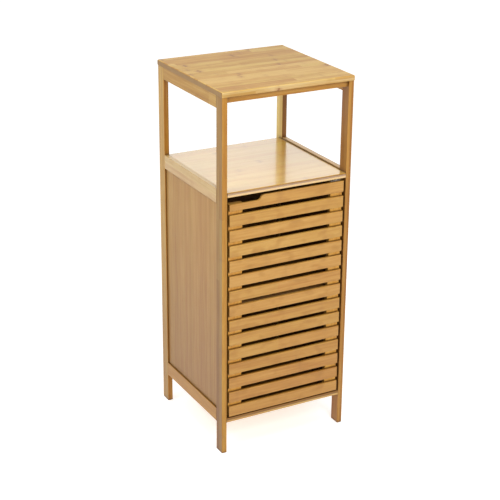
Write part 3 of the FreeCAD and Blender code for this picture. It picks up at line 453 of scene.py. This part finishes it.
def moulded(name, colour, roughness):
    """Plain moulded plastic or ferrite with a faint texture."""
    shader = Shader(name)
    place = shader.add("TexCoord").outputs["Object"]
    grain = shader.noise(place, PLASTIC_GRAIN_SCALE)
    cloud = shader.noise(place, PLASTIC_CLOUD_SCALE)
    shader.feed_surface("Base Color", shader.blend(cloud, colour, shaded(colour, PLASTIC_SHADE)))
    rough = shader.spread(grain, *MIDDLE_RANGE, roughness, roughness + PLASTIC_GRAIN_ROUGHNESS)
    shader.feed_surface("Roughness", rough)
    shader.bump(grain, PLASTIC_GRAIN_DEPTH, PLASTIC_GRAIN_STRENGTH)
    return shader.finish()


def paint(node, material):
    """Gives a CAD node its material."""
    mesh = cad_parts[node].data
    if not mesh.materials:
        mesh.materials.append(material)
    for index in range(len(mesh.materials)):
        mesh.materials[index] = material


# ---------------------------------------------------------------- the cabinet's wood

# Colours of lacquered bamboo as (pale strip, middling strip, brown strip)
TOP_TONES = ((0.68, 0.455, 0.125), (0.58, 0.345, 0.065), (0.45, 0.215, 0.025))
SHELF_TONES = ((0.90, 0.635, 0.16), (0.86, 0.57, 0.115), (0.77, 0.44, 0.070))
DOOR_TONES = ((0.65, 0.375, 0.092), (0.59, 0.315, 0.062), (0.48, 0.220, 0.034))
FRAME_TONES = ((0.54, 0.295, 0.055), (0.46, 0.22, 0.027), (0.355, 0.145, 0.013))
BOARD_TONES = ((0.68, 0.43, 0.14), (0.62, 0.37, 0.10), (0.52, 0.27, 0.06))
RAIL_TONES = ((0.74, 0.56, 0.28), (0.68, 0.49, 0.21), (0.58, 0.38, 0.14))
PANEL_TONES = ((0.50, 0.30, 0.085), (0.44, 0.245, 0.055), (0.37, 0.18, 0.03))
BEECH_TONES = ((0.70, 0.52, 0.30), (0.64, 0.44, 0.24), (0.55, 0.35, 0.17))

WIDE_STRIP = 20 * MM
BOARD_LAYER = 6 * MM
THIN_STRIP = 6 * MM
LONG_STRIP = 3.0

UPRIGHT = Wood(
    grain=Z, widths=(6.5 * MM, 15 * MM), length=LONG_STRIP, contrast=0.55, tones=FRAME_TONES, knots=0.5,
    smudges=0.3, ends=0.40, edges=0.30, roughness=0.42, shine=0.28, coat=0.05, coat_roughness=0.25)
BOARD = Wood(
    grain=X, widths=(WIDE_STRIP, BOARD_LAYER), length=0.60, contrast=0.45, tones=BOARD_TONES, knots=0.5,
    smudges=0.15, ends=0.40, edges=0.50, roughness=0.40, shine=0.35, coat=0.15, coat_roughness=0.25)
PANEL = Wood(
    grain=Z, widths=(5 * MM, 12 * MM), length=LONG_STRIP, contrast=0.36, tones=PANEL_TONES, knots=0.3,
    smudges=0.2, ends=0.30, edges=0.30, roughness=0.45, shine=0.35, coat=0.08, coat_roughness=0.30)
LOW_RAIL = UPRIGHT._replace(grain=Y, widths=(THIN_STRIP, 17 * MM), contrast=0.45, knots=0.6)
WOODS = {
    "top": BOARD._replace(
        length=0.45, contrast=0.85, tones=TOP_TONES, knots=1.2, smudges=0.3, ends=0.90, edges=0.20,
        shine=0.15, coat=0.05, coat_roughness=0.30),
    "shelf": BOARD._replace(
        tones=SHELF_TONES, smudges=0.06, edges=0.40, roughness=0.30, shine=0.8, coat=1.0,
        coat_roughness=0.12),
    "board": BOARD,
    "slat": Wood(
        grain=X, widths=(THIN_STRIP, 30 * MM), length=2.0, contrast=0.35, tones=DOOR_TONES, knots=0.35,
        smudges=0.7, ends=0.20, edges=0.15, roughness=0.42, shine=0.35, coat=0.10, coat_roughness=0.25),
    "stile": Wood(
        grain=Z, widths=(18 * MM, THIN_STRIP), length=LONG_STRIP, contrast=0.40, tones=DOOR_TONES, knots=0.5,
        smudges=0.4, ends=0.40, edges=0.30, roughness=0.42, shine=0.25, coat=0.05, coat_roughness=0.25,
        neighbour_shade=4 * MM),
    "upright": UPRIGHT,
    "apron": LOW_RAIL._replace(widths=(THIN_STRIP, 15 * MM), smudges=0.35),
    "low_rail": LOW_RAIL,
    "cross_rail": UPRIGHT._replace(grain=X, widths=(THIN_STRIP, 15 * MM), contrast=0.45),
    "side_rail": LOW_RAIL._replace(
        contrast=0.35, tones=RAIL_TONES, knots=0.4, smudges=0.2, edges=0.20, shine=0.35, coat=0.45,
        coat_roughness=0.20),
    "side_panel": PANEL,
    "back_panel": PANEL._replace(widths=(12 * MM, 5 * MM), smudges=0.25),
    "dowel": Wood(
        grain=Z, widths=(40 * MM, 40 * MM), length=LONG_STRIP, contrast=0.2, tones=BEECH_TONES, knots=0.0,
        smudges=0.05, ends=0.20, edges=0.10, roughness=0.60, shine=0.35, coat=0.0, coat_roughness=0.3),
}
WOOD_OF = {
    "top_board": "top",
    "shelf_board": "shelf",
    "floor_board": "board",
    "inner_shelf": "board",
    "back_panel": "back_panel",
    "left_side_panel": "side_panel",
    "right_side_panel": "side_panel",
    "top_front_rail": "cross_rail",
    "top_back_rail": "cross_rail",
    "floor_left_rail": "low_rail",
    "floor_right_rail": "low_rail",
    "top_left_rail": "apron",
    "top_right_rail": "apron",
}
WOOD_OF_ENDING = {"_leg": "upright", "_rail": "side_rail", "_batten": "side_rail", "_stile": "stile"}
# Length of the paler stretch at an apron's front end, and the boards whose front edge gets painted shade as a
# brown upper strip
END_BLOCK = 36 * MM
BANDED = ("shelf_board", "floor_board")
# Faces inside the cupboard, which get painted shade, as (axis, sign)
INNER_SHADE_FACES = {
    "back_panel": (Y, -1.0),
    "left_side_panel": (X, 1.0),
    "right_side_panel": (X, -1.0),
    "shelf_board": (Z, -1.0),
    "floor_board": (Z, 1.0),
}
# Painted light: the stiles' front faces are brightened
STILE_PAINTED_LIGHT = Tints(front_light=(1.38, 1.30, 1.05))
# Per piece: the face tints are painted light and shade on the faces that look that way; whole tints are
# partly each piece's own tone and partly painted shade
TINTS_AND_PAINTED_LIGHT = {
    "front_left_leg": Tints(left_light=(0.70, 0.77, 0.95), left_foot_shade=(0.80, 0.68, 0.56), front_light=(1.00, 0.96, 0.80)),
    "front_right_leg": Tints(whole=(0.92, 0.86, 0.85), left_light=(0.85, 0.82, 0.88)),
    "back_left_leg": Tints(whole=(0.92, 0.84, 0.70), left_light=(1.28, 1.75, 3.60), left_foot_shade=(0.80, 0.74, 0.66)),
    "back_right_leg": Tints(left_light=(2.15, 3.40, 7.60), front_light=(0.66, 0.54, 0.32)),
    "left_side_panel": Tints(left_light=(0.98, 0.95, 0.88), left_foot_shade=(0.72, 0.63, 0.46)),
    "shelf_left_rail": Tints(left_light=(0.88, 0.80, 0.60)),
    "shelf_right_rail": Tints(whole=(1.12, 1.04, 0.72)),
    "top_left_rail": Tints(left_light=(1.00, 1.15, 1.45)),
    "top_board": Tints(left_light=(0.90, 0.86, 0.90), front_light=(1.00, 1.08, 1.90)),
    "shelf_board": Tints(front_light=(0.88, 0.80, 0.95)),
    "door_left_stile": STILE_PAINTED_LIGHT,
    "door_right_stile": STILE_PAINTED_LIGHT,
    # Painted shade: the inner shelf is darkened all over
    "inner_shelf": Tints(whole=(0.42, 0.34, 0.26)),
}
# Painted shade: the door's slats grow a little browner from the top one to the bottom one
SLAT = "door_slat_"
SLATS = 15
LOWEST_SLAT_SHADE = (0.92, 0.86, 0.76)
DOWEL_SEED = 90


def wood_of(node):
    """The name of the wood that a node is made of, or None for metal and plastic."""
    if node in WOOD_OF:
        return WOOD_OF[node]
    for ending, wood in WOOD_OF_ENDING.items():
        if node.endswith(ending):
            return wood
    return "slat" if node.startswith(SLAT) else None


def tints_and_painted_light_of(node):
    if not node.startswith(SLAT):
        return TINTS_AND_PAINTED_LIGHT.get(node, Tints())
    share = (int(node.removeprefix(SLAT)) - 1) / (SLATS - 1)
    return Tints(whole=tuple(1.0 + share * (lowest - 1.0) for lowest in LOWEST_SLAT_SHADE))


def paint_wood():
    for seed, node in enumerate(sorted(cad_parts), start=1):
        wood = wood_of(node)
        if wood:
            corner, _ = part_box(node)
            material = bamboo("bamboo_" + node, WOODS[wood], corner, seed, tints_and_painted_light_of(node), INNER_SHADE_FACES.get(node),
                              END_BLOCK if wood == "apron" else None, node in BANDED)
            paint(node, material)


def paint_hardware():
    steel = metal("zinc_plated_steel", (0.70, 0.70, 0.68), 0.28)
    zinc = metal("die_cast_zinc", (0.58, 0.58, 0.57), 0.42, cloud_shift=40.0)
    nylon = moulded("pale_nylon", (0.78, 0.76, 0.71), 0.45)
    ferrite = moulded("dark_ferrite", (0.05, 0.05, 0.055), 0.55)
    beech = bamboo("beech_dowels", WOODS["dowel"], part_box("frame_dowels")[0], DOWEL_SEED)
    special = {"frame_dowels": beech, "cam_locks": zinc, "catch_magnet": ferrite, "catch_body": nylon}
    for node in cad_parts:
        if node in special:
            paint(node, special[node])
        elif node.endswith("washer"):
            paint(node, nylon)
        elif not wood_of(node):
            paint(node, steel)


# ---------------------------------------------------------------- screws and cam locks


class Fitting(NamedTuple):
    """A round fitting with a cross recess in its face."""

    profile: tuple  # from its rim to its tip, as (radius, depth under its face)
    arm: float  # length of the cross's arms
    half_width: float  # of an arm
    depth: float  # of the recess


SCREW_HEAD = ((2.75 * MM, 0.05 * MM), (2.95 * MM, 0.20 * MM), (2.95 * MM, 0.45 * MM), (1.50 * MM, 1.80 * MM))
SCREW_CROSS = (1.75 * MM, 0.42 * MM, 1.3 * MM)
CAM_PROFILE = ((5.20 * MM, 0.10 * MM), (5.45 * MM, 0.35 * MM), (5.75 * MM, 0.35 * MM), (5.90 * MM, 0.60 * MM),
               (5.90 * MM, 8.80 * MM), (4.00 * MM, 8.90 * MM))
CAM = Fitting(CAM_PROFILE, 3.4 * MM, 0.85 * MM, 2.6 * MM)
THREAD_START = 2.6 * MM
THREAD_PITCH = 1.6 * MM
CREST, ROOT = 1.45 * MM, 1.05 * MM
POINT_LENGTH = 3.0 * MM
POINT = 0.35 * MM
POINT_GAP = 0.2 * MM
# The size of a recess's floor as a share of its mouth, how deep fittings sit under the CAD's face, how far
# each is turned from the one before, and from what angle an edge stays sharp
CROSS_TAPER = 0.62
SUNK = 0.05 * MM
TURN_STEP = 1.3
SHARP = math.radians(32)
QUARTER_TURN = math.pi / 2
ROUNDING = 1.001
# Points of a CAD mesh this close are one point, and points this near to a screw's end belong to it
WELD = 0.001 * MM
END_SLICE = 0.1 * MM


def screw(length):
    """A countersunk wood screw: head, thread and point."""
    profile = list(SCREW_HEAD)
    depth = THREAD_START
    while depth < length - POINT_LENGTH:
        profile += [(ROOT, depth), (CREST, depth + THREAD_PITCH / 2)]
        depth += THREAD_PITCH
    profile.append((POINT, length - POINT_GAP))
    return Fitting(tuple(profile), *SCREW_CROSS)


def cross_outline(fitting):
    """The recess's outline as (angle, radius): arms' middles and corners, inner corners, points between."""
    tip = math.atan(fitting.half_width / fitting.arm)
    inner = QUARTER_TURN / 2
    end = QUARTER_TURN - tip
    steps = (0.0, tip, (tip + inner) / 2, inner, (inner + end) / 2, end)
    outline = []
    for quarter in range(4):
        for step in steps:
            aside, ahead = sorted((abs(math.sin(step)), abs(math.cos(step))))
            radius = fitting.arm / ahead
            if aside * radius > fitting.half_width * ROUNDING:
                radius = fitting.half_width / aside
            outline.append((quarter * QUARTER_TURN + step, radius))
    return outline


def add_fitting(mesh, fitting, face, inward, turn):
    """Adds a fitting to a bmesh, at its face's middle, with its direction from face to tip and its turn."""
    outline = cross_outline(fitting)
    place = Matrix.Translation(face) @ inward.to_track_quat("Z", "Y").to_matrix().to_4x4()
    place = place @ Matrix.Rotation(turn, 4, "Z")

    def ring(depth, radii):
        spots = [(math.cos(angle) * radius, math.sin(angle) * radius, depth + SUNK)
                 for (angle, _), radius in zip(outline, radii)]
        return [mesh.verts.new(place @ Vector(spot)) for spot in spots]

    rings = [ring(fitting.depth, [CROSS_TAPER * reach for _, reach in outline])]
    rings.append(ring(0.0, [reach for _, reach in outline]))
    for radius, depth in fitting.profile:
        rings.append(ring(depth, [radius] * len(outline)))
    count = len(outline)
    for upper, lower in zip(rings, rings[1:]):
        for index in range(count):
            after = (index + 1) % count
            mesh.faces.new((upper[index], upper[after], lower[after], lower[index]))
    mesh.faces.new(rings[0][::-1])
    mesh.faces.new(rings[-1])


def islands(node):
    """The separate solids in a CAD node's mesh, each as its lowest and highest corners and its own points."""
    mesh = bmesh.new()
    mesh.from_mesh(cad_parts[node].data)
    bmesh.ops.remove_doubles(mesh, verts=mesh.verts, dist=WELD)
    found, waiting = [], set(mesh.verts)
    for start in list(mesh.verts):
        if start not in waiting:
            continue
        waiting.discard(start)
        stack, points = [start], []
        while stack:
            vertex = stack.pop()
            points.append(vertex.co.copy())
            for edge in vertex.link_edges:
                other = edge.other_vert(vertex)
                if other in waiting:
                    waiting.discard(other)
                    stack.append(other)
        low = Vector([min(point[axis] for point in points) for axis in (X, Y, Z)])
        high = Vector([max(point[axis] for point in points) for axis in (X, Y, Z)])
        found.append((low, high, points))
    mesh.free()
    return found


def head_end(low, high, points):
    """The middle of a screw's head, the direction from its head to its point, and its length."""
    size = high - low
    axis = max((X, Y, Z), key=lambda side: size[side])
    middle = (low + high) / 2
    face, inward = middle.copy(), Vector((0.0, 0.0, 0.0))

    def reach(end):
        near = [point for point in points if abs(point[axis] - end) < END_SLICE]
        return max((point - middle).length_squared for point in near)

    head_low = reach(low[axis]) > reach(high[axis])
    face[axis] = low[axis] if head_low else high[axis]
    inward[axis] = 1.0 if head_low else -1.0
    return face, inward, size[axis]


def make_fittings(node, body, material, cam=False):
    """Replaces a CAD node's plain screws or cam locks with ones that have cross recesses."""
    mesh = bmesh.new()
    for count, (low, high, points) in enumerate(islands(node)):
        if cam:
            middle = (low + high) / 2
            fitting, face, inward = CAM, Vector((middle.x, middle.y, low.z)), Vector((0.0, 0.0, 1.0))
        else:
            face, inward, length = head_end(low, high, points)
            fitting = screw(length)
        add_fitting(mesh, fitting, face, inward, TURN_STEP * count)
    bmesh.ops.recalc_face_normals(mesh, faces=mesh.faces)
    data = bpy.data.meshes.new(node + "_detail")
    mesh.to_mesh(data)
    mesh.free()
    data.shade_smooth()
    data.set_sharp_from_angle(angle=SHARP)
    data.materials.append(material)
    piece = bpy.data.objects.new(node + "_detail", data)
    bpy.context.collection.objects.link(piece)
    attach(piece, body)
    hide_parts(node)


SCREWS = {
    "back_panel_screws": "cabinet",
    "batten_screws": "cabinet",
    "top_screws": "cabinet",
    "catch_screws": "cabinet",
    "hinge_frame_screw": "cabinet",
    "slat_screws": "door",
    "hinge_door_screw": "door",
}


def add_detail():
    steel = metal("bright_zinc_plating", (0.74, 0.73, 0.70), 0.24)
    zinc = metal("cast_zinc_cams", (0.60, 0.60, 0.58), 0.38, cloud_shift=40.0)
    for node, body in SCREWS.items():
        make_fittings(node, body, steel)
    make_fittings("cam_locks", "cabinet", zinc, cam=True)


# ---------------------------------------------------------------- stage, light and camera

FLOOR_REACH = 150.0
FLOOR_GREY = (0.75, 0.75, 0.75, 1.0)
FLOOR_GLOW = 0.58
# The world is brightest behind the cabinet: two places along Y, with the strengths there
GLOW_PLACES = (-0.2, 0.8)
GLOW_STRENGTHS = (0.25, 1.25)
LIGHT_TARGET = (0.0, 0.0, 0.5)
# Square lamps as (name, place, side, watts)
LIGHTS = (
    ("key", (-0.3, -2.5, 2.1), 1.0, 44.0),
    ("overhead", (-0.1, -0.9, 2.3), 0.6, 9.5),
    ("upper_left", (-1.5, -0.2, 1.9), 0.8, 13.0),
)
CAMERA_PLACE = (-1.4732, -2.6883, 1.6748)
CAMERA_AZIMUTH = math.radians(-28.61)
CAMERA_ELEVATION = math.radians(21.93)
CAMERA_ROLL = math.radians(0.53)
CAMERA_LENS = 96.86
SENSOR = 36.0


def make_floor():
    """A plain pale floor that glows a little, so that it stays nearly white."""
    mesh = bpy.data.meshes.new("floor")
    corners = [(x * FLOOR_REACH, y * FLOOR_REACH, 0.0) for x, y in ((-1, -1), (1, -1), (1, 1), (-1, 1))]
    mesh.from_pydata(corners, [], [(0, 1, 2, 3)])
    floor = bpy.data.objects.new("floor", mesh)
    bpy.context.collection.objects.link(floor)
    shader = Shader("pale_floor")
    glow = {"emission_color": (*WHITE, 1.0), "emission_strength": FLOOR_GLOW}
    mesh.materials.append(shader.finish(base_color=FLOOR_GREY, roughness=0.7, **glow))


def make_world():
    """A white studio, brightest behind the cabinet and dimmer in front of it."""
    world = bpy.data.worlds.new("studio")
    world.use_nodes = True
    bpy.context.scene.world = world
    tree = world.node_tree
    place = tree.nodes.new("ShaderNodeTexCoord")
    parts = tree.nodes.new("ShaderNodeSeparateXYZ")
    glow = tree.nodes.new("ShaderNodeMapRange")
    tree.links.new(place.outputs["Generated"], parts.inputs[0])
    tree.links.new(parts.outputs["Y"], glow.inputs["Value"])
    names = ("From Min", "From Max", "To Min", "To Max")
    for key, value in zip(names, (*GLOW_PLACES, *GLOW_STRENGTHS)):
        glow.inputs[key].default_value = value
    background = tree.nodes["Background"]
    tree.links.new(glow.outputs[0], background.inputs["Strength"])
    background.inputs["Color"].default_value = (*WHITE, 1.0)


def make_light(name, place, side, power):
    light = bpy.data.lights.new(name, "AREA")
    light.size = side
    light.energy = power
    lamp = bpy.data.objects.new(name, light)
    bpy.context.collection.objects.link(lamp)
    lamp.location = place
    lamp.rotation_euler = (Vector(LIGHT_TARGET) - Vector(place)).to_track_quat("-Z", "Y").to_euler()


def make_camera():
    flat = math.cos(CAMERA_ELEVATION)
    across, ahead = -math.sin(CAMERA_AZIMUTH) * flat, math.cos(CAMERA_AZIMUTH) * flat
    sight = Vector((across, ahead, -math.sin(CAMERA_ELEVATION)))
    data = bpy.data.cameras.new("camera")
    data.sensor_width = SENSOR
    data.lens = CAMERA_LENS
    camera = bpy.data.objects.new("camera", data)
    bpy.context.collection.objects.link(camera)
    camera.location = CAMERA_PLACE
    camera.rotation_mode = "QUATERNION"
    roll = Quaternion((0.0, 0.0, 1.0), CAMERA_ROLL)
    camera.rotation_quaternion = sight.to_track_quat("-Z", "Y") @ roll
    bpy.context.scene.camera = camera


paint_wood()
paint_hardware()
add_detail()
make_floor()
make_world()
for lamp in LIGHTS:
    make_light(*lamp)
make_camera()
bpy.context.scene.view_settings.view_transform = "Standard"
